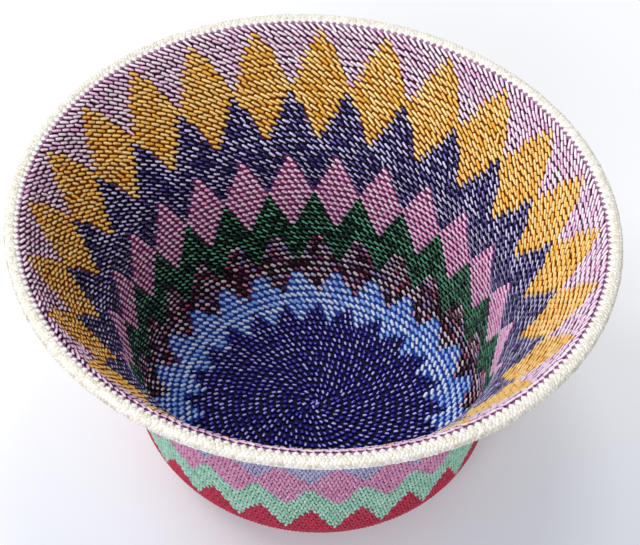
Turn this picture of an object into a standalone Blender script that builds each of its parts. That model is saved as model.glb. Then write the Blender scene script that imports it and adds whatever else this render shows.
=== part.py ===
"""A flared round basket, crocheted in cotton thread with a glass bead in each stitch of its inside.

The cotton fabric is the wall, in bands of one thread colour each. A skin one bead thick
lines it, in floor, rings and diamonds of one bead colour each, and a white bound edge with
a cord in it closes the top. The frame has +Z up and its origin at the centre of the
underside. The diamonds repeat round +Z, and one of their points lies near +X.
"""

import math

import bmesh
import bpy
from mathutils import Vector

# Outer face of the wall, in metres: where its straight runs would meet, and how they are rounded
FOOT_CORNER_RADIUS = 0.0702
FOOT_ROUNDING = 0.0250
BEND_RADIUS = 0.0808
BEND_HEIGHT = 0.0742
BEND_ROUNDING = 0.0489
LIP_CORNER_RADIUS = 0.1086
LIP_CORNER_HEIGHT = 0.1225
LIP_ROUNDING = 0.0050
LIP_LENGTH = 0.0029
LIP_ANGLE = math.radians(69)

# Layers of the wall, and the clearances between pieces
FABRIC_THICKNESS = 0.0015
BEAD_THICKNESS = 0.0020
FIT_GAP = 0.0003
SEAM = 0.0007

# Edge binding and the cord that it is worked over
CORE_CORD_RADIUS = 0.00075
BINDING_THICKNESS = 0.00135
BINDING_RAISE = 0.0005

# The pattern: how often it repeats, where its first point lies, and how many rounds of stitches it has
REPEATS = 24
FIRST_POINT = math.radians(1.2)
ROUNDS = 66

# Zigzag edges of the bead areas, in rounds from the middle of the floor: at the points, and halfway between
FLOOR_EDGE = (19.2, 16.1)
BLUE_EDGE = (20.6, 24.6)
GARNET_EDGE = (31.9, 26.1)
PINK_LOWER_EDGE = (39.3, 32.9)
PINK_UPPER_EDGE = (40.3, 46.5)
GOLD_LOWER_EDGE = (48.3, 56.6)
GOLD_UPPER_EDGE = (65.5, 56.6)

# Zigzag edges of the thread bands outside, counted the same way
CRIMSON_EDGE = (34.1, 28.2)
MINT_EDGE = (40.6, 35.4)
LOZENGE_EDGE = (41.6, 46.8)
PERIWINKLE_EDGE = (55.6, 50.2)
UPPER_CRIMSON_EDGE = (57.4, 62.2)

# Facets
FOOT_STEPS = 6
BEND_STEPS = 2
LIP_STEPS = 2
BINDING_STEPS = 12
SLOT_STEPS = 4
CORD_SIDES = 8
COLUMNS = 2 * REPEATS
WHOLE_TURN = range(COLUMNS)
ONE_DIAMOND = range(-1, 1)

# Colour and roughness of each thread and bead
THREADS = {
    "crimson": ((0.48, 0.03, 0.07), 0.9),
    "mint": ((0.33, 0.58, 0.46), 0.9),
    "pink": ((0.62, 0.24, 0.40), 0.9),
    "periwinkle": ((0.26, 0.24, 0.45), 0.9),
    "white": ((0.92, 0.90, 0.82), 0.9),
}
GLASS = {
    "navy": ((0.03, 0.02, 0.14), 0.15),
    "blue": ((0.10, 0.23, 0.66), 0.15),
    "garnet": ((0.10, 0.01, 0.03), 0.12),
    "green": ((0.01, 0.06, 0.03), 0.15),
    "pink": ((0.50, 0.18, 0.35), 0.2),
    "gold": ((0.70, 0.40, 0.05), 0.2),
    "lavender": ((0.42, 0.21, 0.40), 0.2),
}


def clear_scene():
    for obj in list(bpy.data.objects):
        bpy.data.objects.remove(obj, do_unlink=True)


def material(name, colour, roughness):
    made = bpy.data.materials.new(name)
    made.use_nodes = True
    shader = made.node_tree.nodes["Principled BSDF"]
    shader.inputs["Base Color"].default_value = (*colour, 1)
    shader.inputs["Roughness"].default_value = roughness
    shader.inputs["Metallic"].default_value = 0
    return made


def lip_directions():
    """Along the lip towards the edge, and square to it towards the bead side, as (radius, height)."""
    along = Vector((math.sin(LIP_ANGLE), math.cos(LIP_ANGLE)))
    return along, Vector((-along.y, along.x))


def corners(inset):
    """The corners of the wall's outline at this depth inside its outer face, as (radius, height)."""
    along, _ = lip_directions()
    lip = Vector((LIP_CORNER_RADIUS, LIP_CORNER_HEIGHT))
    foot = Vector((FOOT_CORNER_RADIUS, 0))
    bend = Vector((BEND_RADIUS, BEND_HEIGHT))
    outer = [Vector((0, 0)), foot, bend, lip, lip + along * LIP_LENGTH]
    inwards = [Vector((a.y - b.y, b.x - a.x)).normalized() for a, b in zip(outer, outer[1:])]
    moved = [outer[0] + inwards[0] * inset]
    for point, before, after in zip(outer[1:-1], inwards, inwards[1:]):
        moved.append(point + (before + after) * (inset / (1 + before.dot(after))))
    moved.append(outer[-1] + inwards[-1] * inset)
    return moved


def rounded(before, corner, after, radius, steps):
    """Points along the arc of this radius that rounds the corner between two straight runs."""
    back = (before - corner).normalized()
    ahead = (after - corner).normalized()
    half = back.angle(ahead) / 2
    room = 0.95 * min((before - corner).length, (after - corner).length)
    reach = min(radius / math.tan(half), room)
    radius = reach * math.tan(half)
    centre = corner + (back + ahead).normalized() * radius / math.sin(half)
    start = corner + back * reach - centre
    turn = math.pi - 2 * half
    if back.cross(ahead) > 0:
        turn = -turn
    arc = []
    for step in range(steps + 1):
        angle = turn * step / steps
        spin = Vector(
            (
                start.x * math.cos(angle) - start.y * math.sin(angle),
                start.x * math.sin(angle) + start.y * math.cos(angle),
            )
        )
        arc.append(centre + spin)
    return arc


def outline(inset):
    """The wall from the middle of the floor to its edge, at this depth inside its outer face."""
    middle, foot, bend, lip, end = corners(inset)
    foot_radius = max(FOOT_ROUNDING - inset, inset)
    return [
        middle,
        *rounded(middle, foot, bend, foot_radius, FOOT_STEPS),
        *rounded(foot, bend, lip, BEND_ROUNDING + inset, BEND_STEPS),
        *rounded(bend, lip, end, LIP_ROUNDING + inset, LIP_STEPS),
        end,
    ]


def distances(points):
    """How far along the outline each of its points lies, from the middle of the floor."""
    total = [0.0]
    for a, b in zip(points, points[1:]):
        total.append(total[-1] + (b - a).length)
    return total


def place(points, marks, distance):
    """The point of the outline at this distance along it."""
    for a, b, low, high in zip(points, points[1:], marks, marks[1:]):
        if distance <= high:
            return a.lerp(b, (distance - low) / (high - low))
    return points[-1]


def slot_half_width():
    return max(FABRIC_THICKNESS / 2, CORE_CORD_RADIUS) + FIT_GAP


def edge_radius():
    """The radius of the bound edge's round section."""
    return slot_half_width() + BINDING_THICKNESS


def zone(name, layer, lower, upper, finish, collection, columns=WHOLE_TURN):
    """One colour's area of a layer, which is its face's depth, its thickness outwards from there
    (inwards if negative), and how far its top lies short of the outline's end.

    lower and upper are the area's edges, in rounds at the points and halfway between them, and None
    stands for the middle of the floor or for the layer's top. It covers these half repeats.
    """
    inset, thickness, top_cut = layer
    points = outline(inset)
    marks = distances(points)
    top = marks[-1] - top_cut
    per_round = top / ROUNDS
    stride = 2 * math.pi * BEND_RADIUS / COLUMNS
    bm = bmesh.new()
    flat_sheet(bm, [mark for mark in marks if mark < top] + [top], stride, columns)
    if lower:
        trim(bm, [row * per_round + SEAM / 2 for row in lower], stride, columns, -1)
    if upper:
        trim(bm, [row * per_round - SEAM / 2 for row in upper], stride, columns, 1)
    for vert in bm.verts:
        angle = FIRST_POINT + 2 * math.pi * vert.co.x / (stride * COLUMNS)
        spot = place(points, marks, vert.co.y)
        vert.co = (spot.x * math.cos(angle), spot.x * math.sin(angle), spot.y)
    bmesh.ops.remove_doubles(bm, verts=bm.verts, dist=0.00005)
    bmesh.ops.dissolve_degenerate(bm, edges=bm.edges, dist=0.00002)
    bmesh.ops.triangulate(bm, faces=bm.faces)
    obj = add_mesh(name, bm, finish, collection)
    solidify = obj.modifiers.new("Thickness", "SOLIDIFY")
    solidify.thickness = abs(thickness)
    solidify.offset = 1 if thickness > 0 else -1
    solidify.use_even_offset = True
    return obj


def flat_sheet(bm, marks, stride, columns):
    """The wall unrolled: a column of faces for each half repeat, a row for each stretch of outline."""
    rows = len(marks) - 1
    bmesh.ops.create_grid(bm, x_segments=len(columns), y_segments=rows, size=0.5)
    for vert in bm.verts:
        column = columns[0] + round((vert.co.x + 0.5) * len(columns))
        row = round((vert.co.y + 0.5) * rows)
        vert.co = (column * stride, marks[row], 0)


def trim(bm, levels, stride, columns, side):
    """Cuts the unrolled sheet along a zigzag and clears what lies above it, or below it for side -1."""
    for column in columns:
        left, right = zigzag(levels, stride, column)
        faces = [face for face in bm.faces if left.x < face.calc_center_median().x < right.x]
        edges = {edge for face in faces for edge in face.edges}
        verts = {vert for face in faces for vert in face.verts}
        across = Vector((left.y - right.y, right.x - left.x, 0))
        geometry = [*verts, *edges, *faces]
        bmesh.ops.bisect_plane(bm, geom=geometry, dist=0.000001, plane_co=left, plane_no=across)
    outside = []
    for face in bm.faces:
        centre = face.calc_center_median()
        left, right = zigzag(levels, stride, math.floor(centre.x / stride))
        level = left.y + (right.y - left.y) * (centre.x - left.x) / stride
        if (centre.y - level) * side > 0:
            outside.append(face)
    bmesh.ops.delete(bm, geom=outside, context="FACES")


def zigzag(levels, stride, column):
    """The two ends of a zigzag's edge in this half repeat of the unrolled sheet."""
    left = Vector((column * stride, levels[column % 2], 0))
    right = Vector(((column + 1) * stride, levels[(column + 1) % 2], 0))
    return left, right


def add_mesh(name, bm, finish, collection):
    mesh = bpy.data.meshes.new(name)
    bm.to_mesh(mesh)
    bm.free()
    mesh.materials.append(finish)
    mesh.shade_smooth()
    mesh.set_sharp_from_angle(angle=math.radians(40))
    obj = bpy.data.objects.new(name, mesh)
    collection.objects.link(obj)
    return obj


def edge_frame():
    """The middle of the core cord, and the lip's two directions there."""
    along, inward = lip_directions()
    middle = corners(FABRIC_THICKNESS / 2)[-1]
    return middle, along, inward


def rim_binding(finish, collection):
    """White thread worked over the edge: a round section with a slot for the cord and the fabric's edge."""
    middle, along, inward = edge_frame()
    radius = edge_radius()
    half = slot_half_width()
    upper = math.pi - math.asin((half - BINDING_RAISE) / radius)
    lower = math.asin((half + BINDING_RAISE) / radius) - math.pi
    section = []
    for step in range(BINDING_STEPS + 1):
        angle = upper + (lower - upper) * step / BINDING_STEPS
        reach = along * math.cos(angle) + inward * math.sin(angle)
        section.append(middle + inward * BINDING_RAISE + reach * radius)
    for step in range(SLOT_STEPS + 1):
        angle = math.pi * (step / SLOT_STEPS - 0.5)
        reach = along * math.cos(angle) + inward * math.sin(angle)
        section.append(middle + reach * half)
    bm = bmesh.new()
    verts = [bm.verts.new((point.x, 0, point.y)) for point in section]
    for a, b in zip(verts, verts[1:] + verts[:1]):
        bm.edges.new((a, b))
    obj = add_mesh("rim_binding", bm, finish, collection)
    obj.rotation_euler.z = FIRST_POINT
    screw = obj.modifiers.new("Turned", "SCREW")
    screw.steps = COLUMNS
    screw.render_steps = COLUMNS
    screw.use_merge_vertices = True
    screw.merge_threshold = 0.00001
    screw.use_smooth_shade = True


def rim_core_cord(finish, collection):
    """The cord that the edge stitches are worked over."""
    middle, _, _ = edge_frame()
    bpy.ops.mesh.primitive_torus_add(
        major_radius=middle.x,
        minor_radius=CORE_CORD_RADIUS,
        major_segments=COLUMNS,
        minor_segments=CORD_SIDES,
        location=(0, 0, middle.y),
        rotation=(0, 0, FIRST_POINT),
    )
    obj = bpy.context.object
    obj.name = "rim_core_cord"
    obj.data.name = "rim_core_cord"
    obj.data.materials.append(finish)
    obj.data.shade_smooth()
    for holder in list(obj.users_collection):
        holder.objects.unlink(obj)
    collection.objects.link(obj)


def fabric(collection):
    """The cotton wall, from the middle of the underside to the cord in the edge."""
    bands = (
        ("fabric_base_crimson", "crimson", None, CRIMSON_EDGE),
        ("fabric_band_mint", "mint", CRIMSON_EDGE, MINT_EDGE),
        ("fabric_band_pink", "pink", MINT_EDGE, LOZENGE_EDGE),
        ("fabric_band_periwinkle", "periwinkle", LOZENGE_EDGE, PERIWINKLE_EDGE),
        ("fabric_band_upper_crimson", "crimson", PERIWINKLE_EDGE, UPPER_CRIMSON_EDGE),
        ("fabric_band_upper_mint", "mint", UPPER_CRIMSON_EDGE, None),
    )
    threads = {name: material("thread_" + name, *look) for name, look in THREADS.items()}
    layer = (0, -FABRIC_THICKNESS, CORE_CORD_RADIUS + FIT_GAP)
    for name, thread, lower, upper in bands:
        zone(name, layer, lower, upper, threads[thread], collection)
    rim_core_cord(threads["white"], collection)
    rim_binding(threads["white"], collection)


def beads(collection):
    """The bead lining, one bead thick, from the middle of the floor to the bound edge."""
    areas = (
        ("beads_floor_navy", "navy", None, FLOOR_EDGE),
        ("beads_ring_blue", "blue", FLOOR_EDGE, BLUE_EDGE),
        ("beads_ring_garnet", "garnet", BLUE_EDGE, GARNET_EDGE),
        ("beads_ring_green", "green", GARNET_EDGE, PINK_LOWER_EDGE),
        ("beads_diamonds_pink", "pink", PINK_LOWER_EDGE, PINK_UPPER_EDGE),
        ("beads_ring_navy", "navy", PINK_UPPER_EDGE, GOLD_LOWER_EDGE),
        ("beads_ring_lavender", "lavender", GOLD_UPPER_EDGE, None),
    )
    glass = {name: material("glass_" + name, *look) for name, look in GLASS.items()}
    face = FABRIC_THICKNESS + FIT_GAP + BEAD_THICKNESS
    layer = (face, BEAD_THICKNESS, edge_radius() + FIT_GAP)
    for name, colour, lower, upper in areas:
        zone(name, layer, lower, upper, glass[colour], collection)
    gold_diamonds(layer, glass["gold"], collection)


def gold_diamonds(layer, finish, collection):
    """The ring of separate diamonds below the edge: one shape, turned about +Z."""
    first = zone(
        "beads_diamond_gold_01", layer, GOLD_LOWER_EDGE, GOLD_UPPER_EDGE, finish, collection, ONE_DIAMOND
    )
    for index in range(1, REPEATS):
        copy = first.copy()
        copy.name = f"beads_diamond_gold_{index + 1:02d}"
        copy.rotation_euler.z = 2 * math.pi * index / REPEATS
        collection.objects.link(copy)


def main():
    clear_scene()
    collection = bpy.data.collections.new("beaded_basket")
    bpy.context.scene.collection.children.link(collection)
    fabric(collection)
    beads(collection)


main()
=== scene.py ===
# %% [markdown]
# # A beaded crochet basket
# The real basket is tapestry crochet. One cotton thread goes round in a spiral from the middle
# of the floor, a second one is carried inside the stitches, and each stitch holds one glass
# seed bead on the inside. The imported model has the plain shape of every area. This script
# dresses it: each area becomes the beads or stitches that it is made of.

import math
import random

import bmesh
import bpy
import numpy as np
from mathutils import Matrix, Vector


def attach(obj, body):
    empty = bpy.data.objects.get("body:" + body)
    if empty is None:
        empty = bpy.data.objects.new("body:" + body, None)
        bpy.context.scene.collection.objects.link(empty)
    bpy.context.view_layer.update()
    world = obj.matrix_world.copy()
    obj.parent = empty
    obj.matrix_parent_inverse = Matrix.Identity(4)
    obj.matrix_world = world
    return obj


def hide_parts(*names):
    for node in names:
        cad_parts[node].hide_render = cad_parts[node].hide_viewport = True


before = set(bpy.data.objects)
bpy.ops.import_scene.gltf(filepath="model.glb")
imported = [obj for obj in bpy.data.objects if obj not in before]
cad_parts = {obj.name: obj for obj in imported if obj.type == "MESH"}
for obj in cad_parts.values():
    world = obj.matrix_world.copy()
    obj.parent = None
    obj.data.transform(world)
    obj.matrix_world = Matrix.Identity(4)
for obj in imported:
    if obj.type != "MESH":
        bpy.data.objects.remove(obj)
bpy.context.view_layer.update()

# %% [markdown]
# ## The wall's outline
# Every bead and stitch sits on the same turned wall, so its outline comes first: straight runs
# from the middle of the floor to the edge, with rounded corners. It could be read from the
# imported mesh, but a formula also tells how far along the wall a point lies and which way the
# wall faces there. A point of the wall is then a distance along the outline and an angle round
# the axis. That is how a crocheter counts too: rounds up the wall, and stitches round it.

# %% Sizes of the wall, in metres
FOOT_CORNER = Vector((0.0702, 0.0))
BEND_CORNER = Vector((0.0808, 0.0742))
LIP_CORNER = Vector((0.1086, 0.1225))
LIP_ANGLE = math.radians(69)
LIP_LENGTH = 0.0029
FOOT_ROUNDING, BEND_ROUNDING, LIP_ROUNDING = 0.0250, 0.0489, 0.0050
FOOT_STEPS, BEND_STEPS, LIP_STEPS = 14, 8, 6
LONGEST_REACH = 0.95  # a rounding takes at most this share of a straight run
ALONG_LIP = Vector((math.sin(LIP_ANGLE), math.cos(LIP_ANGLE)))
ABOVE_LIP = Vector((-ALONG_LIP.y, ALONG_LIP.x))
corners = (FOOT_CORNER, BEND_CORNER, LIP_CORNER)
print("the corners lie", [round(1000 * corner.x, 1) for corner in corners], "mm out")


# %% Draw the outline at any depth in the wall
def rounded(before, corner, after, radius, steps):
    """Points along the arc that rounds the corner between two straight runs."""
    back, ahead = (before - corner).normalized(), (after - corner).normalized()
    half = back.angle(ahead) / 2
    shortest = min((before - corner).length, (after - corner).length)
    reach = min(radius / math.tan(half), LONGEST_REACH * shortest)
    radius = reach * math.tan(half)
    centre = corner + (back + ahead).normalized() * radius / math.sin(half)
    start = corner + back * reach - centre
    turn = (math.pi - 2 * half) * (-1 if back.cross(ahead) > 0 else 1)
    angles = [turn * step / steps for step in range(steps + 1)]
    return [centre + Matrix.Rotation(angle, 2) @ start for angle in angles]


def outline(depth):
    """Points from the middle of the floor to the edge, and how far along each one lies."""
    outer = [Vector((0, 0)), FOOT_CORNER, BEND_CORNER, LIP_CORNER, LIP_CORNER + ALONG_LIP * LIP_LENGTH]
    inwards = [Vector((a.y - b.y, b.x - a.x)).normalized() for a, b in zip(outer, outer[1:])]
    middle = outer[0] + inwards[0] * depth
    end = outer[-1] + inwards[-1] * depth
    foot, bend, lip = (
        point + (a + b) * (depth / (1 + a.dot(b))) for point, a, b in zip(outer[1:], inwards, inwards[1:])
    )
    points = [
        middle,
        *rounded(middle, foot, bend, FOOT_ROUNDING - depth, FOOT_STEPS),
        *rounded(foot, bend, lip, BEND_ROUNDING + depth, BEND_STEPS),
        *rounded(bend, lip, end, LIP_ROUNDING + depth, LIP_STEPS),
        end,
    ]
    marks = [0.0]
    for a, b in zip(points, points[1:]):
        marks.append(marks[-1] + (b - a).length)
    return points, marks


WALL_THICKNESS = 0.0038  # cotton and beads together
FABRIC_FACE = outline(0.0)
BEAD_FACE = outline(WALL_THICKNESS)
for side, (_, marks) in (("outside", FABRIC_FACE), ("inside", BEAD_FACE)):
    print("the wall is", round(1000 * marks[-1], 1), "mm long", side)


# %% A place on the wall
def seat(line, distance, azimuth, lift=0.0):
    """A place on the wall: its origin there, X round the axis, Y up the wall, Z to the inside."""
    points, marks = line
    index = max(i for i in range(len(marks) - 1) if marks[i] <= max(distance, 0.0))
    step = (points[index + 1] - points[index]).normalized()
    spot = points[index] + step * (distance - marks[index]) + Vector((-step.y, step.x)) * lift
    out = Vector((math.cos(azimuth), math.sin(azimuth), 0))
    round_axis = Vector((-math.sin(azimuth), math.cos(azimuth), 0))
    up = out * step.x + Vector((0, 0, step.y))
    inside = out * -step.y + Vector((0, 0, step.x))
    place = Matrix((-round_axis, up, inside)).transposed().to_4x4()
    place.translation = out * spot.x + Vector((0, 0, spot.y))
    return place


edge = seat(FABRIC_FACE, FABRIC_FACE[1][-1], 0.0).translation
print("the fabric ends", round(1000 * edge.z, 1), "mm above the table")

# %% [markdown]
# ## The pattern
# The zigzags and diamonds repeat 24 times. Each edge is a zigzag given in rounds: its height at
# the points, and halfway between them. A stitch takes the colour of the area that its middle
# lies in, which makes the small steps that crochet has. Cutting the mesh along the zigzags
# would give smooth lines instead.

# %% Counts and edges of the pattern
REPEATS = 24
ROUNDS = 66
REPEAT = 2 * math.pi / REPEATS
FIRST_POINT = math.radians(1.2)
BEADED_LENGTH, CROCHETED_LENGTH = 0.19168, 0.19472  # along the wall, up to the white edge
BEAD_ROUND = BEADED_LENGTH / ROUNDS
FABRIC_ROUND = CROCHETED_LENGTH / ROUNDS
BEAD_AREAS = (
    ("floor_navy", (19.2, 16.1)),
    ("ring_blue", (20.6, 24.6)),
    ("ring_garnet", (31.9, 26.1)),
    ("ring_green", (39.8, 32.9)),
    ("diamonds_pink", (39.8, 46.5)),
    ("ring_navy", (48.3, 56.6)),
    ("diamonds_gold", (65.5, 56.6)),
    ("ring_lavender", (99, 99)),
)
FABRIC_AREAS = (
    ("base_crimson", (34.1, 28.2)),
    ("band_mint", (40.6, 35.4)),
    ("band_pink", (41.6, 46.8)),
    ("band_periwinkle", (55.6, 50.2)),
    ("band_upper_crimson", (57.4, 62.2)),
    ("band_upper_mint", (99, 99)),
)
for side, height in (("inside", BEAD_ROUND), ("outside", FABRIC_ROUND)):
    print("a round is", round(1000 * height, 2), "mm high", side)


# %% Which area a stitch lies in
DRIFT_ROUNDS = (16, 24, 30, 33, 40, 46, 50, 57, 66)
DRIFT_DEGREES = (1.2, 0.4, 1.0, 1.7, 1.8, 1.1, 0.5, 0.5, 0.1)


def drift(rounds):
    """How far the pattern has crept round at this round, as hand work does."""
    return math.radians(np.interp(rounds, DRIFT_ROUNDS, DRIFT_DEGREES))


def area_at(areas, rounds, azimuth):
    """The first area whose upper zigzag lies above this place."""
    halves = (azimuth - FIRST_POINT - drift(rounds)) / (REPEAT / 2)
    step = math.floor(halves)
    for name, edge in areas:
        left, right = edge[step % 2], edge[(step + 1) % 2]
        if rounds < left + (right - left) * (halves - step):
            return name


print("the middle of the floor lies in", area_at(BEAD_AREAS, 0.5, 0.0))


# %% How many stitches a round has, and where they lie
STITCHES_IN_A_REPEAT = ((60, 10), (54, 9), (47, 8), (26, 7), (19, 6), (15, 5))
FLOOR_GAIN, FEWEST_STITCHES = 7.3, 6
ROUND_LEAN, LEANS_FROM = math.radians(0.19), 47


def stitches(index):
    """The flat floor gains about seven stitches a round. The wall has whole numbers in each repeat."""
    for first, count in STITCHES_IN_A_REPEAT:
        if index >= first:
            return REPEATS * count
    return max(FEWEST_STITCHES, round(FLOOR_GAIN * (index + 0.5)))


def stitch_angle(index, number):
    """Each round starts half a stitch further on, and the upper rounds lean a little."""
    lean = ROUND_LEAN * (ROUNDS - max(index, LEANS_FROM))
    return FIRST_POINT + lean + 2 * math.pi * (number + 0.5 * (index % 2)) / stitches(index)


print(sum(stitches(index) for index in range(ROUNDS)), "stitches in", ROUNDS, "rounds")

# %% [markdown]
# ## Colours and nodes
# Colours are written as sRGB hex, as an eye reads them, and turned linear for the shaders. One
# function adds a node with its settings and its links, so each material below reads as a list
# of what it is made of.


# %% Colour and node helpers
def linear(hex_colour):
    """An sRGB hex colour as linear red, green, blue and alpha."""
    levels = [int(hex_colour[i : i + 2], 16) / 255 for i in (1, 3, 5)]
    return (*[c / 12.92 if c <= 0.04045 else ((c + 0.055) / 1.055) ** 2.4 for c in levels], 1.0)


def add(tree, kind, settings=(), inputs=(), stops=()):
    """Adds a node. An input takes a value, or another node's output to be linked to."""
    made = tree.nodes.new(kind)
    for key, value in dict(settings).items():
        setattr(made, key, value)
    for key, value in dict(inputs).items():
        if isinstance(value, bpy.types.NodeSocket):
            tree.links.new(value, made.inputs[key])
        else:
            made.inputs[key].default_value = value
    for index, (position, colour) in enumerate(stops):
        stop = made.color_ramp.elements[index] if index < 2 else made.color_ramp.elements.new(position)
        stop.position, stop.color = position, linear(colour)
    return made


def new_material(name, shading):
    """A material with constants on its shader, and its node tree and shader to build on."""
    material = bpy.data.materials.new(name)
    material.use_nodes = True
    shader = material.node_tree.nodes["Principled BSDF"]
    for key, value in shading.items():
        shader.inputs[key].default_value = value
    return material, material.node_tree, shader


MULTIPLY_ADD = {"operation": "MULTIPLY_ADD"}
MULTIPLY = {"operation": "MULTIPLY"}
MIX_COLOURS = {"data_type": "RGBA"}
print("half grey is", round(linear("#808080")[0], 3), "in linear light")

# %% [markdown]
# ## Glass beads
# Seed beads are cut from a drawn glass tube and tumbled in heat, so they are short barrels with
# soft shoulders and a hole. Glass has an IOR of 1.52, and the tumbling leaves it smooth but not
# polished: a roughness of 0.22 makes its lights soft, and a thin coat adds small sharp ones. One
# sees it dark at the sides, where one looks along the glass, then the body colour, and over the
# hole a bright streak, where the light that has come in is gathered. Real glass could be traced,
# but a bead is only a few pixels wide, and its streak would drown in noise. So the streak is a
# painted highlight, which keeps it in any light. The dark of the sides is painted shade, and so
# is the darkening at the hole's mouths. A bead carries three attributes for that: a tone of its
# own, because no two are alike, its crown, which is 1 along its inward line and 0 at its sides
# and places the painted highlight and shade, and how near a point lies to the hole's mouths,
# where the painted shade of the hole falls.

# %% Seed bead glass
CLOUDS_PER_METRE = 900.0  # cloudy spots in the glass, about 1.1 mm across
CLOUD_STRENGTH, CLOUD_START = 0.3, -0.1
TONE_STRENGTH, TONE_START = 0.8, 0.68
# Crown levels where the painted shade at the sides ends, the body lies and painted light begins, then where
# the painted highlight starts and is full.
DEEP_UP_TO, BODY_AT, LIGHT_FROM = 0.10, 0.32, 0.55
STREAK_STARTS, STREAK_IS_FULL = 1.05, 1.3
FIRST_STREAK, STREAK_RANGE = 0.2, 0.4  # the tones that share out the streak's colours


def seed_bead_glass(name, colours, streaks, width):
    """Colours of the painted shade at the sides, of the body and of its painted light part, then the
    painted highlight's own colours and its width.
    """
    deep, body, light = colours
    shading = {"Roughness": 0.22, "IOR": 1.52, "Coat Weight": 0.25, "Coat Roughness": 0.08, "Coat IOR": 1.6}
    material, tree, shader = new_material(name, shading)
    tone = add(tree, "ShaderNodeAttribute", {"attribute_name": "tone"})
    crown = add(tree, "ShaderNodeAttribute", {"attribute_name": "crown"})
    hole = add(tree, "ShaderNodeAttribute", {"attribute_name": "hole"})
    here = add(tree, "ShaderNodeTexCoord")
    where = {"Vector": here.outputs["Object"], "Scale": CLOUDS_PER_METRE}
    cloud = add(tree, "ShaderNodeTexNoise", inputs=where)
    factors = {0: cloud.outputs["Fac"], 1: CLOUD_STRENGTH, 2: CLOUD_START}
    clouded = add(tree, "ShaderNodeMath", MULTIPLY_ADD, factors)
    factors = {0: tone.outputs["Fac"], 1: TONE_STRENGTH, 2: TONE_START}
    strength = add(tree, "ShaderNodeMath", MULTIPLY_ADD, factors)
    factors = {0: crown.outputs["Fac"], 1: strength.outputs[0], 2: clouded.outputs[0]}
    level = add(tree, "ShaderNodeMath", MULTIPLY_ADD, factors)
    # Painted shade at the sides, where the crown is low, then the body, then painted light towards the
    # crown.
    stops = ((DEEP_UP_TO, deep), (BODY_AT, body), (LIGHT_FROM, light))
    glass = add(tree, "ShaderNodeValToRGB", inputs={"Fac": level.outputs[0]}, stops=stops)
    # The painted highlight streak along the crown, its colour chosen by the bead's tone.
    stops = [
        (FIRST_STREAK + STREAK_RANGE * index / len(streaks), colour) for index, colour in enumerate(streaks)
    ]
    streak = add(tree, "ShaderNodeValToRGB", inputs={"Fac": tone.outputs["Fac"]}, stops=stops)
    limits = {"From Min": STREAK_STARTS - width, "From Max": STREAK_IS_FULL - width}
    share = add(tree, "ShaderNodeMapRange", inputs={"Value": level.outputs[0], **limits})
    parts = {"Factor": share.outputs["Result"], 6: glass.outputs["Color"], 7: streak.outputs["Color"]}
    lit = add(tree, "ShaderNodeMix", MIX_COLOURS, parts)
    # Painted shade of the hole darkens the bead towards its mouths.
    parts = {"Factor": hole.outputs["Fac"], 6: lit.outputs[2], 7: linear(deep)}
    ends = add(tree, "ShaderNodeMix", MIX_COLOURS, parts)
    tree.links.new(ends.outputs[2], shader.inputs["Base Color"])
    return material


# %% The eight glasses
RAINBOW = ("#2A0612", "#FFFFFF", "#FF90B8", "#7A1030", "#B8B4FF", "#FFE4F4")
# Each glass: its name, the painted shade at the sides, the body and the painted light, then the painted
# highlight colours and their width.
BEAD_COLOURS = {
    # Clear dark blue glass: nearly black, with a small violet point of light in each bead.
    "floor_navy": ("navy_violet", ("#020020", "#17117A", "#2620A8"), ("#948CFF", "#D0C8FF"), 0.24),
    # Milky light blue glass: an even, bright colour with white points of painted highlight.
    "ring_blue": ("light_blue", ("#2858E8", "#5C98FF", "#8CBCFF"), ("#C4E0FF", "#FFFFFF"), 0.38),
    # Garnet glass with a rainbow film: painted highlights flash white, pink or violet on some beads, others
    # stay dark.
    "ring_garnet": ("garnet_rainbow", ("#080004", "#240616", "#460E28"), RAINBOW, 0.56),
    # Clear bottle green glass: black at a glance, with thin green lines of light.
    "ring_green": ("dark_green", ("#010302", "#020D07", "#07281A"), ("#229458", "#74D8A4"), 0.34),
    # Rose glass over a silvered hole: the lining throws light back, and a painted glow of the colour stands
    # for it.
    "diamonds_pink": ("rose_pink_lined", ("#7E1E5A", "#DE72C0", "#F6A4DE"), ("#FFD0EA", "#FFF4FA"), 0.46),
    # Clear navy glass: dark sides and a pale violet dash of light.
    "ring_navy": ("navy", ("#040114", "#140C44", "#221A64"), ("#A690EC", "#E4DAFF"), 0.33),
    # Amber glass over a silvered hole: gold, orange at the sides and pale yellow in the light.
    "diamonds_gold": ("amber_gold_lined", ("#8A3004", "#DE8418", "#F4B83C"), ("#FFDE76", "#FFF6B8"), 0.35),
    # Lavender glass over a silvered hole: nearly white in the light, plum at the sides.
    "ring_lavender": ("lavender_lined", ("#48123E", "#BC78AC", "#E4ACD8"), ("#FCE8FA", "#FFFFFF"), 0.43),
}
GLASS = {name: seed_bead_glass(glass + "_glass", *look) for name, (glass, *look) in BEAD_COLOURS.items()}
print(len(GLASS), "kinds of bead glass")

# %% [markdown]
# ## Cotton thread
# Crochet cotton is a hard-twisted thread about 1 mm thick, matt with a faint sheen from loose
# fibres. Its plies lie 0.4 mm apart. Drawn as slanted lines they would have to follow every
# stitch, and from here they only show as a fine grain, so a noise of that size gives the colour
# and the bump. The tone attribute is 0 in the pinholes between the stitches and higher on the
# stitches, so that one ramp colours both: the pinhole colour is painted shade, and the colours
# of shaded and lit thread are painted shade and light, spread by the grain.

# %% Crochet cotton
PLY_SPACING = 0.0004
PLY_BUMP = 0.0002
PINHOLE_UP_TO, SHADE_AT, BODY_TONE, LIGHT_TONE = 0.02, 0.16, 0.34, 0.62


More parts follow.
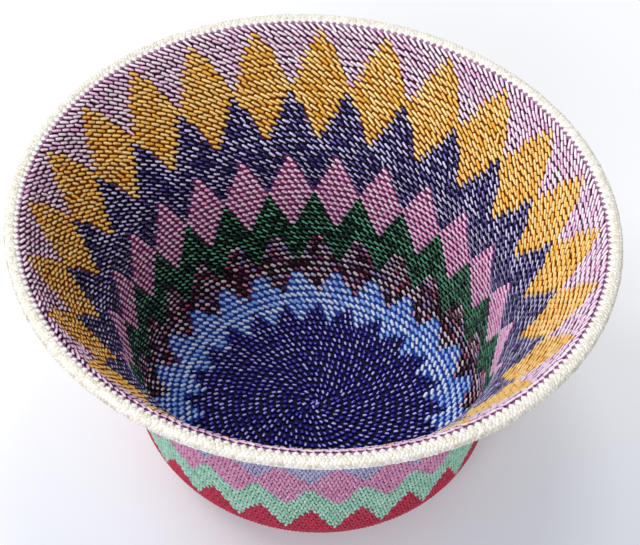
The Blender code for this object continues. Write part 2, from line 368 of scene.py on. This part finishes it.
def crochet_cotton(name, pinhole, shade, body, light):
    """Colours of the painted shade in the gaps, of the painted shade on the thread, of the plain thread,
    and of painted full light on it.
    """
    shading = {"Roughness": 0.85, "IOR": 1.5, "Sheen Weight": 0.1, "Sheen Roughness": 0.5}
    material, tree, shader = new_material(name, shading)
    tone = add(tree, "ShaderNodeAttribute", {"attribute_name": "tone"})
    here = add(tree, "ShaderNodeTexCoord")
    grain = {"Vector": here.outputs["Object"], "Scale": 1 / PLY_SPACING, "Detail": 3.0, "Roughness": 0.6}
    ply = add(tree, "ShaderNodeTexNoise", inputs=grain)
    mixed = add(tree, "ShaderNodeMath", MULTIPLY, {0: ply.outputs["Fac"], 1: tone.outputs["Fac"]})
    stops = ((PINHOLE_UP_TO, pinhole), (SHADE_AT, shade), (BODY_TONE, body), (LIGHT_TONE, light))
    ramp = add(tree, "ShaderNodeValToRGB", inputs={"Fac": mixed.outputs[0]}, stops=stops)
    relief = {"Height": ply.outputs["Fac"], "Strength": 0.5, "Distance": PLY_BUMP}
    bump = add(tree, "ShaderNodeBump", inputs=relief)
    tree.links.new(ramp.outputs["Color"], shader.inputs["Base Color"])
    tree.links.new(bump.outputs["Normal"], shader.inputs["Normal"])
    return material


# Each thread's colours: painted shade in the pinholes, painted shade on the thread, the plain thread, and
# painted light on it.
COTTON = {
    # Strong red dye: painted shade makes it deep in the gaps, and it stays red in full light.
    "crimson": crochet_cotton("crimson_crochet_cotton", "#2C0008", "#840A28", "#B80E3C", "#D42C60"),
    # Pale green dye: its pinholes, dark with painted shade, show most, so it looks like a net.
    "mint": crochet_cotton("mint_crochet_cotton", "#041A12", "#5C947C", "#98C8B2", "#D0F0E0"),
    # Dusty pink dye: soft, with little light and shade.
    "pink": crochet_cotton("pink_crochet_cotton", "#440824", "#AC6088", "#CC84AC", "#F0BCD6"),
    # Grey violet dye: quiet beside the pink.
    "periwinkle": crochet_cotton("periwinkle_crochet_cotton", "#262450", "#76709C", "#A49EC4", "#CCC8E4"),
    # Natural white: warm grey in the shade and nearly white in the light.
    "white": crochet_cotton("white_crochet_cotton", "#A39A88", "#D9D0BC", "#F0EDE6", "#FCFBF8"),
}
print(len(COTTON), "threads")

# %% [markdown]
# ## The lean of hand work
# No crocheted basket grows quite straight. This one's foot lies a few millimetres to the right
# of its mouth and further back. Turning the whole basket would lift its foot off the table, so
# every finished mesh is moved sideways level by level, by less than a stitch and a half at the
# edge and at the foot, and the underside stays flat.

# %% Move a mesh level by level
EDGE_HEIGHT = 0.124
WALL_HEIGHT = 0.105
TO_THE_RIGHT, MORE_TO_THE_RIGHT = 0.003, 0.034
TO_THE_BACK = 0.045
EDGE_SHIFT = 0.0028


def lean_by_hand(mesh):
    """Moves every vertex sideways, by an amount that its height gives."""
    places = np.empty(len(mesh.vertices) * 3, np.float32)
    mesh.vertices.foreach_get("co", places)
    places = places.reshape(-1, 3)
    down = (EDGE_HEIGHT - places[:, 2]) / WALL_HEIGHT
    places[:, 0] += WALL_HEIGHT * (TO_THE_RIGHT * down + MORE_TO_THE_RIGHT * down**2) - EDGE_SHIFT
    places[:, 1] += WALL_HEIGHT * TO_THE_BACK * down - EDGE_SHIFT
    mesh.vertices.foreach_set("co", places.ravel())
    mesh.update()


print("the edge moves", round(1000 * EDGE_SHIFT, 1), "mm to the left and to the front")

# %% [markdown]
# ## Setting the same small shape many times
# A bead or a stitch is modelled once, with a few dozen faces, and a copy is set at each place of
# the wall. One mesh for all copies of a colour stays light to handle, where ten thousand objects
# wouldn't. The tone attribute is written for each copy afterwards.


# %% Stamp a small mesh onto many places
def finished(bm, name):
    """Turns a bmesh into a mesh."""
    mesh = bpy.data.meshes.new(name)
    bm.to_mesh(mesh)
    bm.free()
    return mesh


def give_tones(mesh, tones):
    """Writes one tone for each vertex."""
    tone = mesh.attributes.new("tone", "FLOAT", "POINT")
    tone.data.foreach_set("value", np.asarray(tones, np.float32))


def stamp(name, template, places, tones, finish, shares=1.0):
    """Sets a copy at each place. A copy's tone can have a share for each vertex of the template."""
    bm = bmesh.new()
    for place in places:
        copy = template.copy()
        copy.transform(place)
        bm.from_mesh(copy)
        bpy.data.meshes.remove(copy)
    mesh = finished(bm, name)
    mesh.materials.append(finish)
    give_tones(mesh, np.outer(tones, np.broadcast_to(shares, len(template.vertices))).ravel())
    mesh.shade_smooth()
    return mesh


def piece(name, mesh, replaced=()):
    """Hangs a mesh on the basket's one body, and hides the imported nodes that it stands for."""
    lean_by_hand(mesh)
    obj = bpy.data.objects.new(name, mesh)
    bpy.context.scene.collection.objects.link(obj)
    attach(obj, "root")
    if replaced:
        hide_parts(*replaced)
    print(name, len(mesh.polygons), "faces")


# %% [markdown]
# ## One seed bead
# The bead is turned like a barrel: half of its section, the hole's wall included, is spun round
# the hole's axis in eight steps. That gives 48 faces, few enough for ten thousand beads, and
# smooth shading rounds them. A bevelled cylinder would still need its hole cut.
# While the bead is made, its vertices also get the attributes that the glass reads.

# %% Turn the bead
BEAD_RADIUS = 0.00082
BEAD_LENGTH = 0.0042
# From the hole's mouth to the belly: how far along, how far out, and how much painted shade of the hole it
# gets.
BEAD_PROFILE = ((1.0, 0.45, 0.8), (0.84, 0.82, 0.0), (0.42, 1.0, 0.0))
BEAD_STEPS = 8
# The painted highlight fades at the hole's mouths by this share.
CROWN_LOST = 0.4  # how much less light is gathered at the hole's mouths


def turned_bead():
    """Spins half of the bead's section round the hole, and marks its crown and its hole."""
    half = BEAD_LENGTH / 2
    bm = bmesh.new()
    near_hole = bm.verts.layers.float.new("hole")
    crown = bm.verts.layers.float.new("crown")
    verts = []
    for side, profile in ((-1, BEAD_PROFILE), (1, BEAD_PROFILE[::-1])):
        for along, out, share in profile:
            vert = bm.verts.new((side * along * half, out * BEAD_RADIUS, 0))
            vert[near_hole] = share
            verts.append(vert)
    edges = [bm.edges.new(pair) for pair in zip(verts, verts[1:] + verts[:1])]
    whole_turn = {"axis": (1, 0, 0), "angle": 2 * math.pi, "steps": BEAD_STEPS, "use_merge": True}
    bmesh.ops.spin(bm, geom=[*verts, *edges], cent=(0, 0, 0), **whole_turn)
    bmesh.ops.recalc_face_normals(bm, faces=bm.faces)
    for vert in bm.verts:
        inward = max(0.0, 1 - abs(math.atan2(vert.co.y, vert.co.z)) / (math.pi / 2))
        vert[crown] = inward * (1 - CROWN_LOST * vert[near_hole])
    return finished(bm, "seed_bead")


BEAD = turned_bead()
print("one bead has", len(BEAD.polygons), "faces and", len(BEAD.vertices), "vertices")

# %% [markdown]
# ## Setting the beads
# A bead hangs across its stitch, so its hole points down to one side: 37 degrees below the round
# on the wall, and 60 degrees on the flat floor. The beads chain up in slanted lines. The wall's
# beads are drawn 3 to 5 mm long, longer than real seed beads, because neighbours and the light
# on them run together into slanted dashes there. An array modifier would set them in even rows,
# which look printed. A loop can give each bead a small difference in place, size and turn, as
# hand work does, and let a few slip round.

# %% How the beads of each colour lie
hand = random.Random(24)  # a fixed seed, so that every run makes the same basket
# Turns are in radians and lengths in metres. A spread is how far most copies differ.
BEAD_SLANT, FLOOR_SLANT = math.radians(37), math.radians(60)
SLANT_SPREAD = 0.09
SLIPPED_SHARE, LEAST_SLIP, MOST_SLIP = 0.008, 0.2, 0.5
TILT, TILT_SPREAD = 0.12, 0.05
SIZE_SPREAD = 0.03
FLOOR_LOOSENESS, WALL_LOOSENESS = 0.00024, 0.00010
SINK_SPREAD = 0.00008
MIDDLE_RADIUS = 0.004  # keeps the first beads in their places
# How long and how thick the beads of a colour are, as shares of the turned bead's size.
BEAD_SHAPES = {
    "floor_navy": (0.50, 1.26),
    "ring_blue": (0.80, 1.14),
    "ring_garnet": (0.68, 1.12),
    "ring_green": (0.82, 1.08),
    "diamonds_pink": (0.80, 1.02),
    "ring_navy": (0.90, 1.06),
    "diamonds_gold": (1.14, 0.90),
    "ring_lavender": (1.14, 0.88),
}


def bead_place(index, azimuth, area):
    """Where one bead sits, with the small differences of hand work."""
    on_floor = area == "floor_navy"
    slant = (FLOOR_SLANT if on_floor else BEAD_SLANT) + hand.gauss(0, SLANT_SPREAD)
    if hand.random() < SLIPPED_SHARE:
        slant += hand.uniform(LEAST_SLIP, MOST_SLIP)
    loose = FLOOR_LOOSENESS if on_floor else WALL_LOOSENESS
    distance = (index + 0.5) * BEAD_ROUND + hand.gauss(0, loose)
    turn = Matrix.Rotation(-slant, 4, "Z") @ Matrix.Rotation(hand.gauss(TILT, TILT_SPREAD), 4, "Y")
    length, thickness = (part * hand.gauss(1.0, SIZE_SPREAD) for part in BEAD_SHAPES[area])
    size = Matrix.Diagonal((length, thickness, thickness, 1))
    lift = -BEAD_RADIUS * thickness + hand.gauss(0, SINK_SPREAD)
    azimuth += hand.gauss(0, loose) / (distance + MIDDLE_RADIUS)
    return seat(BEAD_FACE, distance, azimuth, lift) @ turn @ size


bead_places = {name: [] for name, _ in BEAD_AREAS}
for index in range(ROUNDS):
    for number in range(stitches(index)):
        azimuth = stitch_angle(index, number)
        area = area_at(BEAD_AREAS, index + 0.5, azimuth)
        bead_places[area].append(bead_place(index, azimuth, area))
print({name: len(places) for name, places in bead_places.items()})

# %% Set the beads, one mesh for each colour
BEAD_SLOTS = {
    "floor_navy": ("beads_navy", ["beads_floor_navy"]),
    "ring_blue": ("beads_blue", ["beads_ring_blue"]),
    "ring_garnet": ("beads_garnet", ["beads_ring_garnet"]),
    "ring_green": ("beads_green", ["beads_ring_green"]),
    "diamonds_pink": ("beads_pink", ["beads_diamonds_pink"]),
    "ring_navy": ("beads_navy", ["beads_ring_navy"]),
    "diamonds_gold": ("beads_gold", [f"beads_diamond_gold_{index:02d}" for index in range(1, 25)]),
    "ring_lavender": ("beads_lavender", ["beads_ring_lavender"]),
}
LINED = ("diamonds_pink", "diamonds_gold", "ring_lavender")
BEAD_TONE, LINED_SPREAD, CLEAR_SPREAD = 0.39, 0.11, 0.18  # silver evens out the beads that it lines
DARKEST, LIGHTEST = 0.05, 0.75
for name, places in bead_places.items():
    slot, replaced = BEAD_SLOTS[name]
    spread = LINED_SPREAD if name in LINED else CLEAR_SPREAD
    tones = [min(LIGHTEST, max(DARKEST, hand.gauss(BEAD_TONE, spread))) for _ in places]
    piece("glass_beads_" + name, stamp(name, BEAD, places, tones, GLASS[name]), replaced)

# %% [markdown]
# ## Ground of the fabric
# Between the beads and between the stitches one sees into the fabric. A thin sheet does for
# that: the wall is laid out flat as a grid with about one cell for each bead or leg, the cells
# of other colours are deleted, which leaves the stepped edges of crochet, and the rest is
# rolled onto the wall and given a thickness. A smooth turned sheet could have no stepped edges.

# %% Roll a grid onto the wall
WALL_STITCHES = 7 * REPEATS  # stitches round most of the wall
SAME_PLACE = 0.00002


def ground(name, areas, area, line, pitch, lift, thickness, columns, finish):
    """A thin sheet of one area, lifted off the given face of the wall. Its cells are one round high."""
    bm = bmesh.new()
    bmesh.ops.create_grid(bm, x_segments=columns, y_segments=ROUNDS, size=0.5)
    for vert in bm.verts:
        vert.co = (round((vert.co.x + 0.5) * columns), round((vert.co.y + 0.5) * ROUNDS), 0)
    other = []
    for face in bm.faces:
        middle = face.calc_center_median()
        if area_at(areas, middle.y, FIRST_POINT + 2 * math.pi * middle.x / columns) != area:
            other.append(face)
    bmesh.ops.delete(bm, geom=other, context="FACES")
    for vert in bm.verts:
        angle = FIRST_POINT + 2 * math.pi * vert.co.x / columns
        vert.co = seat(line, vert.co.y * pitch, angle, lift).translation
    bmesh.ops.remove_doubles(bm, verts=bm.verts, dist=SAME_PLACE)
    bmesh.ops.dissolve_degenerate(bm, edges=bm.edges, dist=SAME_PLACE)
    bmesh.ops.recalc_face_normals(bm, faces=bm.faces)
    bmesh.ops.solidify(bm, geom=bm.faces, thickness=thickness)
    mesh = finished(bm, name)
    mesh.materials.append(finish)
    mesh.shade_smooth()
    return mesh


print("a sheet has", WALL_STITCHES, "cells round the wall inside and twice as many outside")

# %% [markdown]
# ## Thread seen between the beads
# The thread that holds the beads is the same cotton as outside, but it lies in their shade, and
# the light that reaches it has come through the glass. So its colour is painted shade in a deep
# tint of the bead's own colour, which a material with two deep tones gives at once.

# %% Shaded thread behind each colour of bead
SHADE_GRAINS_PER_METRE = 700.0  # thread and gap in turn, about 1.4 mm
BEHIND_LIFT, BEHIND_THICKNESS = -0.0017, 0.0003
# Two colours of painted shade for the thread behind each colour of bead.
BEHIND = {
    "floor_navy": ("thread_crimson", "#02001A", "#0C0840"),
    "ring_blue": ("thread_crimson", "#16348C", "#3058C4"),
    "ring_garnet": ("thread_crimson", "#100208", "#3A0A1C"),
    "ring_green": ("thread_mint", "#010402", "#08200F"),
    "diamonds_pink": ("thread_pink", "#681A46", "#984878"),
    "ring_navy": ("thread_periwinkle", "#030114", "#0E0830"),
    "diamonds_gold": ("thread_crimson", "#702C04", "#A8540A"),
    "ring_lavender": ("thread_mint", "#34102C", "#5A2850"),
}


def shaded_thread(name, dark, light):
    """Cotton coloured with painted, tinted shade: matt and deep, with only a soft grain to be seen."""
    material, tree, shader = new_material(name, {"Roughness": 0.9, "IOR": 1.5})
    here = add(tree, "ShaderNodeTexCoord")
    where = {"Vector": here.outputs["Object"], "Scale": SHADE_GRAINS_PER_METRE, "Detail": 3.0}
    grain = add(tree, "ShaderNodeTexNoise", inputs=where)
    stops = ((0.35, dark), (0.7, light))
    ramp = add(tree, "ShaderNodeValToRGB", inputs={"Fac": grain.outputs["Fac"]}, stops=stops)
    tree.links.new(ramp.outputs["Color"], shader.inputs["Base Color"])
    return material


for name, (slot, dark, light) in BEHIND.items():
    finish = shaded_thread("shaded_thread_" + name, dark, light)
    sheet = (BEAD_FACE, BEAD_ROUND, BEHIND_LIFT, BEHIND_THICKNESS, WALL_STITCHES)
    piece("thread_behind_" + name, ground(name, BEAD_AREAS, name, *sheet, finish))

# %% [markdown]
# ## Stitches of the outside
# A single crochet stitch shows two legs outside, which lean together at the foot like a V. Small
# dark pinholes stay open between the legs; their dark is painted shade. A leg could be a bent
# tube of thread, but there are nearly 20,000 of them, so it is a low ball with six sides,
# stretched to the height of a round. The rounds close up, and its narrow ends leave the
# pinholes. It is set twice in each stitch, and a quarter of a stitch further on in every other
# round, as the rounds of crochet lie like bricks. Its tone falls towards the ground, a painted
# shade which deepens the pinholes.

# %% One leg of a stitch
# Six sides reach 0.87 of the length, which is the height of a round.
LEG_WIDTH, LEG_LENGTH, LEG_THICKNESS = 0.00134, 0.0034, 0.0011
LEG_SIDES, LEG_RINGS = 6, 3
LEG_RADIUS = 0.5 / math.sin(math.pi / LEG_RINGS)  # makes its two rings 1 wide
# Painted shade: the share of its tone that a leg keeps on its side towards the ground.
UNDER_SHARE = 0.15


def thread_leg():
    """A low ball of thread with six sides."""
    bm = bmesh.new()
    bmesh.ops.create_uvsphere(bm, u_segments=LEG_SIDES, v_segments=LEG_RINGS, radius=LEG_RADIUS)
    bmesh.ops.scale(bm, vec=(LEG_WIDTH, LEG_LENGTH, LEG_THICKNESS), verts=bm.verts)
    return finished(bm, "thread_leg")


LEG = thread_leg()
# Painted shade: the side of a leg towards the ground gets the smaller share of its tone.
LEG_SHARES = [1.0 if vert.co.z < 0 else UNDER_SHARE for vert in LEG.vertices]
print("one leg has", len(LEG.polygons), "faces")

# %% Places of the legs, by colour
LEG_SLANT, LEG_SLANT_SPREAD = math.radians(10), 0.06
LEG_LIFT, LEG_LIFT_SPREAD = 0.00066, 0.00004
leg_places = {name: [] for name, _ in FABRIC_AREAS}
for index in range(ROUNDS):
    step = 2 * math.pi / stitches(index)
    for number in range(stitches(index)):
        for side in (-1, 1):
            azimuth = stitch_angle(index, number) + (side + index % 2) * step / 4
            area = area_at(FABRIC_AREAS, index + 0.5, azimuth)
            turn = Matrix.Rotation(side * LEG_SLANT + hand.gauss(0, LEG_SLANT_SPREAD), 4, "Z")
            lift = LEG_LIFT + abs(hand.gauss(0, LEG_LIFT_SPREAD))
            place = seat(FABRIC_FACE, (index + 0.5) * FABRIC_ROUND, azimuth, lift)
            leg_places[area].append(place @ turn)
print({name: len(places) for name, places in leg_places.items()})


# %% Legs and ground together are a band
def joined(name, meshes, finish):
    """Several meshes as one, in one thread."""
    bm = bmesh.new()
    for mesh in meshes:
        bm.from_mesh(mesh)
    both = finished(bm, name)
    both.materials.append(finish)
    both.shade_smooth()
    return both


FABRIC_SLOTS = {
    "base_crimson": ("crimson", ["fabric_base_crimson"]),
    "band_mint": ("mint", ["fabric_band_mint"]),
    "band_pink": ("pink", ["fabric_band_pink"]),
    "band_periwinkle": ("periwinkle", ["fabric_band_periwinkle"]),
    "band_upper_crimson": ("crimson", ["fabric_band_upper_crimson"]),
    "band_upper_mint": ("mint", ["fabric_band_upper_mint"]),
}
LEG_TONE, LEG_TONE_SPREAD = 0.75, 0.1
DARKEST_LEG, LIGHTEST_LEG = 0.45, 1.0
CLOTH_LIFT, CLOTH_THICKNESS = 0.0011, 0.0004
for name, places in leg_places.items():
    thread, replaced = FABRIC_SLOTS[name]
    finish = COTTON[thread]
    tones = [
        min(LIGHTEST_LEG, max(DARKEST_LEG, hand.gauss(LEG_TONE, LEG_TONE_SPREAD))) for _ in places
    ]
    legs = stamp("legs", LEG, places, tones, finish, LEG_SHARES)
    sheet = (FABRIC_FACE, FABRIC_ROUND, CLOTH_LIFT, CLOTH_THICKNESS, 2 * WALL_STITCHES)
    # The cloth has no tone, so it takes the pinhole colour: painted shade between the legs.
    cloth = ground("cloth", FABRIC_AREAS, name, *sheet, finish)
    piece("crochet_" + name, joined(name, (legs, cloth), finish), replaced)

# %% [markdown]
# ## The bound edge
# The basket ends in white rounds: pointed stitches on the inside, where a stitch without a bead
# shows its own thread, then rows of small loops that roll over the edge and end below it. They
# are worked over a thin cord. Seen so small, a loop of thread is a stretched ball, and seven
# rows of them over a smooth ring give the edge its grain with few faces. Neighbouring rows lie
# half a loop apart, and every loop is turned a little, as if by hand.

# %% Where the edge lies
CORD_RADIUS = 0.00075
EDGE_CORD = outline(CORD_RADIUS)[0][-1]
ROLL_LIFT, EDGE_RADIUS = 0.0005, 0.0024
EDGE_MIDDLE = EDGE_CORD + ABOVE_LIP * ROLL_LIFT
print("edge at radius", round(1000 * EDGE_MIDDLE.x, 2), "height", round(1000 * EDGE_MIDDLE.y, 2), "mm")


# %% A ring of round section, and a place on the edge's roll
def ring(name, middle, radius, sides, steps):
    """A ring round the basket's axis, with a circle about the given middle as its section."""
    bm = bmesh.new()
    bmesh.ops.create_circle(bm, segments=sides, radius=radius)
    bmesh.ops.rotate(bm, cent=(0, 0, 0), matrix=Matrix.Rotation(math.pi / 2, 3, "X"), verts=bm.verts)
    bmesh.ops.translate(bm, vec=(middle.x, 0, middle.y), verts=bm.verts)
    whole_turn = {"axis": (0, 0, 1), "angle": 2 * math.pi, "steps": steps, "use_merge": True}
    bmesh.ops.spin(bm, geom=[*bm.verts, *bm.edges], cent=(0, 0, 0), **whole_turn)
    bmesh.ops.recalc_face_normals(bm, faces=bm.faces)
    return finished(bm, name)


def edge_place(angle, azimuth, reach):
    """A place on the edge's roll: X round the axis, Y round the roll, Z out of it."""
    out = ALONG_LIP * math.cos(angle) + ABOVE_LIP * math.sin(angle)
    over = ALONG_LIP * -math.sin(angle) + ABOVE_LIP * math.cos(angle)
    spot = EDGE_MIDDLE + out * reach
    ahead = Vector((math.cos(azimuth), math.sin(azimuth), 0))
    axes = [ahead * part.x + Vector((0, 0, part.y)) for part in (over, out)]
    place = Matrix((axes[0].cross(axes[1]), axes[0], axes[1])).transposed().to_4x4()
    place.translation = ahead * spot.x + Vector((0, 0, spot.y))
    return place


outermost = edge_place(0.0, 0.0, EDGE_RADIUS).translation
print("the roll reaches", round(1000 * outermost.x, 1), "mm out")

# %% Loops that roll over the edge
# Where each row lies round the roll in degrees, how long its loops are, their slant, and the tone of their
# painted shade.
LOOP_ROWS = (
    (-112, 0.0016, 12, 0.7),
    (-80, 0.0017, -12, 0.7),
    (-46, 0.0018, 12, 0.7),
    (-10, 0.0018, -12, 0.45),
    (26, 0.0018, 12, 0.7),
    (60, 0.0017, -12, 0.65),
    (92, 0.0018, 12, 0.6),
)
EDGE_STITCHES = 20 * REPEATS
LOOP_WIDTH, LOOP_THICKNESS = 0.0015, 0.0010
LOOP_SINK, LOOP_SINK_SPREAD = 0.0004, 0.00006
LOOP_SPACING_SPREAD, LOOP_ROW_SPREAD, LOOP_SLANT_SPREAD = 0.10, 3, 7
SLANT_BACK = -0.4  # every other loop slants back by this share
LOOP_TONE_SPREAD = 0.25


def thread_loop(width, length, thickness, sides=8):
    """A small stretched ball of thread."""
    bm = bmesh.new()
    bmesh.ops.create_uvsphere(bm, u_segments=sides, v_segments=4, radius=0.5)
    bmesh.ops.scale(bm, vec=(width, length, thickness), verts=bm.verts)
    return finished(bm, "thread_loop")


edge_parts = []
for row, (degrees, length, slant, shade) in enumerate(LOOP_ROWS):
    loop = thread_loop(LOOP_WIDTH, length, LOOP_THICKNESS)
    places = []
    for number in range(EDGE_STITCHES):
        along = number + row % 2 / 2 + hand.gauss(0, LOOP_SPACING_SPREAD)
        azimuth = FIRST_POINT + 2 * math.pi * along / EDGE_STITCHES
        angle = math.radians(degrees + hand.gauss(0, LOOP_ROW_SPREAD))
        place = edge_place(angle, azimuth, EDGE_RADIUS - LOOP_SINK + hand.gauss(0, LOOP_SINK_SPREAD))
        lean = slant * (1 if number % 2 else SLANT_BACK) + hand.gauss(0, LOOP_SLANT_SPREAD)
        places.append(place @ Matrix.Rotation(math.radians(lean), 4, "Z"))
    tones = [shade + hand.uniform(-LOOP_TONE_SPREAD, LOOP_TONE_SPREAD) for _ in places]
    edge_parts.append(stamp("loops", loop, places, tones, COTTON["white"]))
print(len(LOOP_ROWS) * EDGE_STITCHES, "loops on the edge")

# %% Pointed stitches on the inside of the edge
POINT_WIDTH, POINT_LENGTH, POINT_THICKNESS = 0.0027, 0.0034, 0.0016
POINT_RISE, POINT_SINK = 0.0012, -0.0008
POINT_TURN, POINT_TURN_SPREAD = -0.1, 0.06
POINT_TONES = (0.8, 1.0)
point = thread_loop(POINT_WIDTH, POINT_LENGTH, POINT_THICKNESS, sides=4)
places = []
for number in range(stitches(ROUNDS)):
    azimuth = stitch_angle(ROUNDS, number)
    place = seat(BEAD_FACE, BEADED_LENGTH + POINT_RISE, azimuth, POINT_SINK)
    places.append(place @ Matrix.Rotation(hand.gauss(POINT_TURN, POINT_TURN_SPREAD), 4, "Z"))
tones = [hand.uniform(*POINT_TONES) for _ in places]
edge_parts.append(stamp("points", point, places, tones, COTTON["white"]))
print(len(places), "pointed stitches")

# %% The smooth ring under the loops, and the edge as one piece
ROLL_SINK, ROLL_TONE = 0.0002, 0.7
RING_STEPS = 120
roll = ring("roll", EDGE_MIDDLE, EDGE_RADIUS - ROLL_SINK, 16, RING_STEPS)
give_tones(roll, np.full(len(roll.vertices), ROLL_TONE))
edge_parts.append(roll)
piece("edge_stitches", joined("edge_stitches", edge_parts, COTTON["white"]), ["rim_binding"])

# %% Shaded thread behind the pointed stitches
UNDER_RISE, UNDER_SINK, UNDER_RADIUS = 0.0006, -0.0015, 0.0011
under = seat(BEAD_FACE, BEADED_LENGTH + UNDER_RISE, 0.0, UNDER_SINK).translation
behind = ring("thread_behind_edge", Vector((under.x, under.z)), UNDER_RADIUS, 8, WALL_STITCHES)
# Its colour is painted shade between the pointed stitches.
behind.materials.append(shaded_thread("shaded_thread_edge", "#7C4A72", "#BC94B2"))
behind.shade_smooth()
piece("thread_behind_edge", behind)

# %% [markdown]
# ## The cord in the edge
# The stitches of the edge close over a cord, which keeps it round. It can't be seen, but it is
# there in the real basket and carries the edge. It is a plain ring of the same white cotton.

# %% Cord inside the edge
CORD_TONE = 0.8
cord = ring("edge_cord", EDGE_CORD, CORD_RADIUS, 8, RING_STEPS)
cord.materials.append(COTTON["white"])
cord.shade_smooth()
give_tones(cord, np.full(len(cord.vertices), CORD_TONE))
piece("edge_cord", cord, ["rim_core_cord"])

# %% [markdown]
# ## Floor
# The basket stands on a seamless pale paper sheet, with painted shade that runs from white at the
# back to a cool grey in front. A plain grey sheet under a stronger lamp would do that too, but the
# lamp would also bleach the basket. So the paper carries the run of painted shade itself, and a
# painted glow lightens it a little where the camera or a glossy bead sees it. The basket's shadow stays.

# %% Paper floor
PAPER_REACH = 3.0  # to each side of the basket
bm = bmesh.new()
bmesh.ops.create_grid(bm, x_segments=1, y_segments=1, size=PAPER_REACH)
mesh = finished(bm, "paper_floor")
floor = bpy.data.objects.new("paper_floor", mesh)
bpy.context.scene.collection.objects.link(floor)
print("paper", [round(x, 2) for x in floor.dimensions], "m")

# %% Painted shade that runs across the paper
PAPER_TURN = math.radians(78)
RUNS_PER_METRE = 2.2
RUN_MIDDLE = 0.5  # the share of the run that lies below the basket
paper, tree, shader = new_material("seamless_background_paper", {"Roughness": 0.9, "IOR": 1.5})
here = add(tree, "ShaderNodeTexCoord")
across = {"Vector": here.outputs["Object"], "Rotation": (0, 0, PAPER_TURN), "Scale": [RUNS_PER_METRE] * 3}
turned = add(tree, "ShaderNodeMapping", inputs=across)
parts = add(tree, "ShaderNodeSeparateXYZ", inputs={"Vector": turned.outputs["Vector"]})
centred = add(tree, "ShaderNodeMath", {"operation": "ADD"}, {0: parts.outputs["X"], 1: RUN_MIDDLE})
# Painted shade: white at the back, a cool grey in front.
stops = ((0.40, "#F8FAFD"), (0.95, "#C9D0E1"))
ramp = add(tree, "ShaderNodeValToRGB", inputs={"Fac": centred.outputs[0]}, stops=stops)
tree.links.new(ramp.outputs["Color"], shader.inputs["Base Color"])
print("one run of colour takes", round(1 / RUNS_PER_METRE, 2), "m")

# %% A faint painted glow of the paper, only where it is seen
PAPER_GLOW = 0.13
MAXIMUM = {"operation": "MAXIMUM"}
seen = add(tree, "ShaderNodeLightPath")
rays = {0: seen.outputs["Is Glossy Ray"], 1: seen.outputs["Is Transmission Ray"]}
mirrored = add(tree, "ShaderNodeMath", MAXIMUM, rays)
direct = add(tree, "ShaderNodeMath", MAXIMUM, {0: seen.outputs["Is Camera Ray"], 1: mirrored.outputs[0]})
glow = add(tree, "ShaderNodeMath", MULTIPLY, {0: direct.outputs[0], 1: PAPER_GLOW})
tree.links.new(ramp.outputs["Color"], shader.inputs["Emission Color"])
tree.links.new(glow.outputs[0], shader.inputs["Emission Strength"])
mesh.materials.append(paper)
print("the paper glows at", PAPER_GLOW)

# %% [markdown]
# ## Light and camera
# Three soft lamps light the basket: one high on the left, which models the wall, a wide one in
# front, which fills the far wall and the outside, and a small one above, which reaches the
# basket's floor. One hard lamp would throw sharp shadows that the photograph doesn't have. A
# plain white surround fills the shade. The camera looks down at 48 degrees through a long lens,
# turned by four degrees about its own axis, because the photograph isn't level.

# %% Lights
SURROUND_STRENGTH = 0.42
LAMP_TARGET = (0, 0, 0.08)
world = bpy.data.worlds.new("white_studio")
bpy.context.scene.world = world
world.use_nodes = True
surround = world.node_tree.nodes["Background"]
surround.inputs["Color"].default_value = (1.0, 1.0, 1.0, 1.0)
surround.inputs["Strength"].default_value = SURROUND_STRENGTH


def softbox(name, place, size, power):
    """A rectangular lamp that is aimed at the basket."""
    lamp = bpy.data.lights.new(name, "AREA")
    lamp.shape, lamp.size, lamp.size_y, lamp.energy = "RECTANGLE", size[0], size[1], power
    holder = bpy.data.objects.new(name, lamp)
    holder.location = place
    holder.rotation_euler = (Vector(LAMP_TARGET) - Vector(place)).to_track_quat("-Z", "Y").to_euler()
    bpy.context.scene.collection.objects.link(holder)
    print(name, power, "W")


softbox("key_softbox", (-0.80, 0.18, 1.10), (0.7, 0.6), 7.5)
softbox("front_fill", (-0.30, -1.20, 0.80), (0.8, 0.6), 9.2)
softbox("top_light", (0.05, 0.15, 1.25), (0.3, 0.3), 2.5)

# %% Camera
EYE = Vector((0.0004, -0.4296, 0.5710))
TARGET = Vector((0.0004, -0.0028, 0.09303))
ROLL = Matrix.Rotation(math.radians(4.03), 4, "Z")
FOCAL_LENGTH, SENSOR_WIDTH = 94.3, 36.0  # in millimetres
NEAREST, FARTHEST = 0.02, 20.0  # in metres
lens = bpy.data.cameras.new("camera")
lens.lens, lens.sensor_width, lens.sensor_fit = FOCAL_LENGTH, SENSOR_WIDTH, "HORIZONTAL"
lens.clip_start, lens.clip_end = NEAREST, FARTHEST
camera = bpy.data.objects.new("camera", lens)
aim = (TARGET - EYE).to_track_quat("-Z", "Y").to_matrix().to_4x4() @ ROLL
camera.matrix_world = Matrix.Translation(EYE) @ aim
bpy.context.scene.collection.objects.link(camera)
bpy.context.scene.camera = camera
bpy.context.scene.view_settings.view_transform = "Standard"
print("the camera is", round((TARGET - EYE).length, 3), "m away")
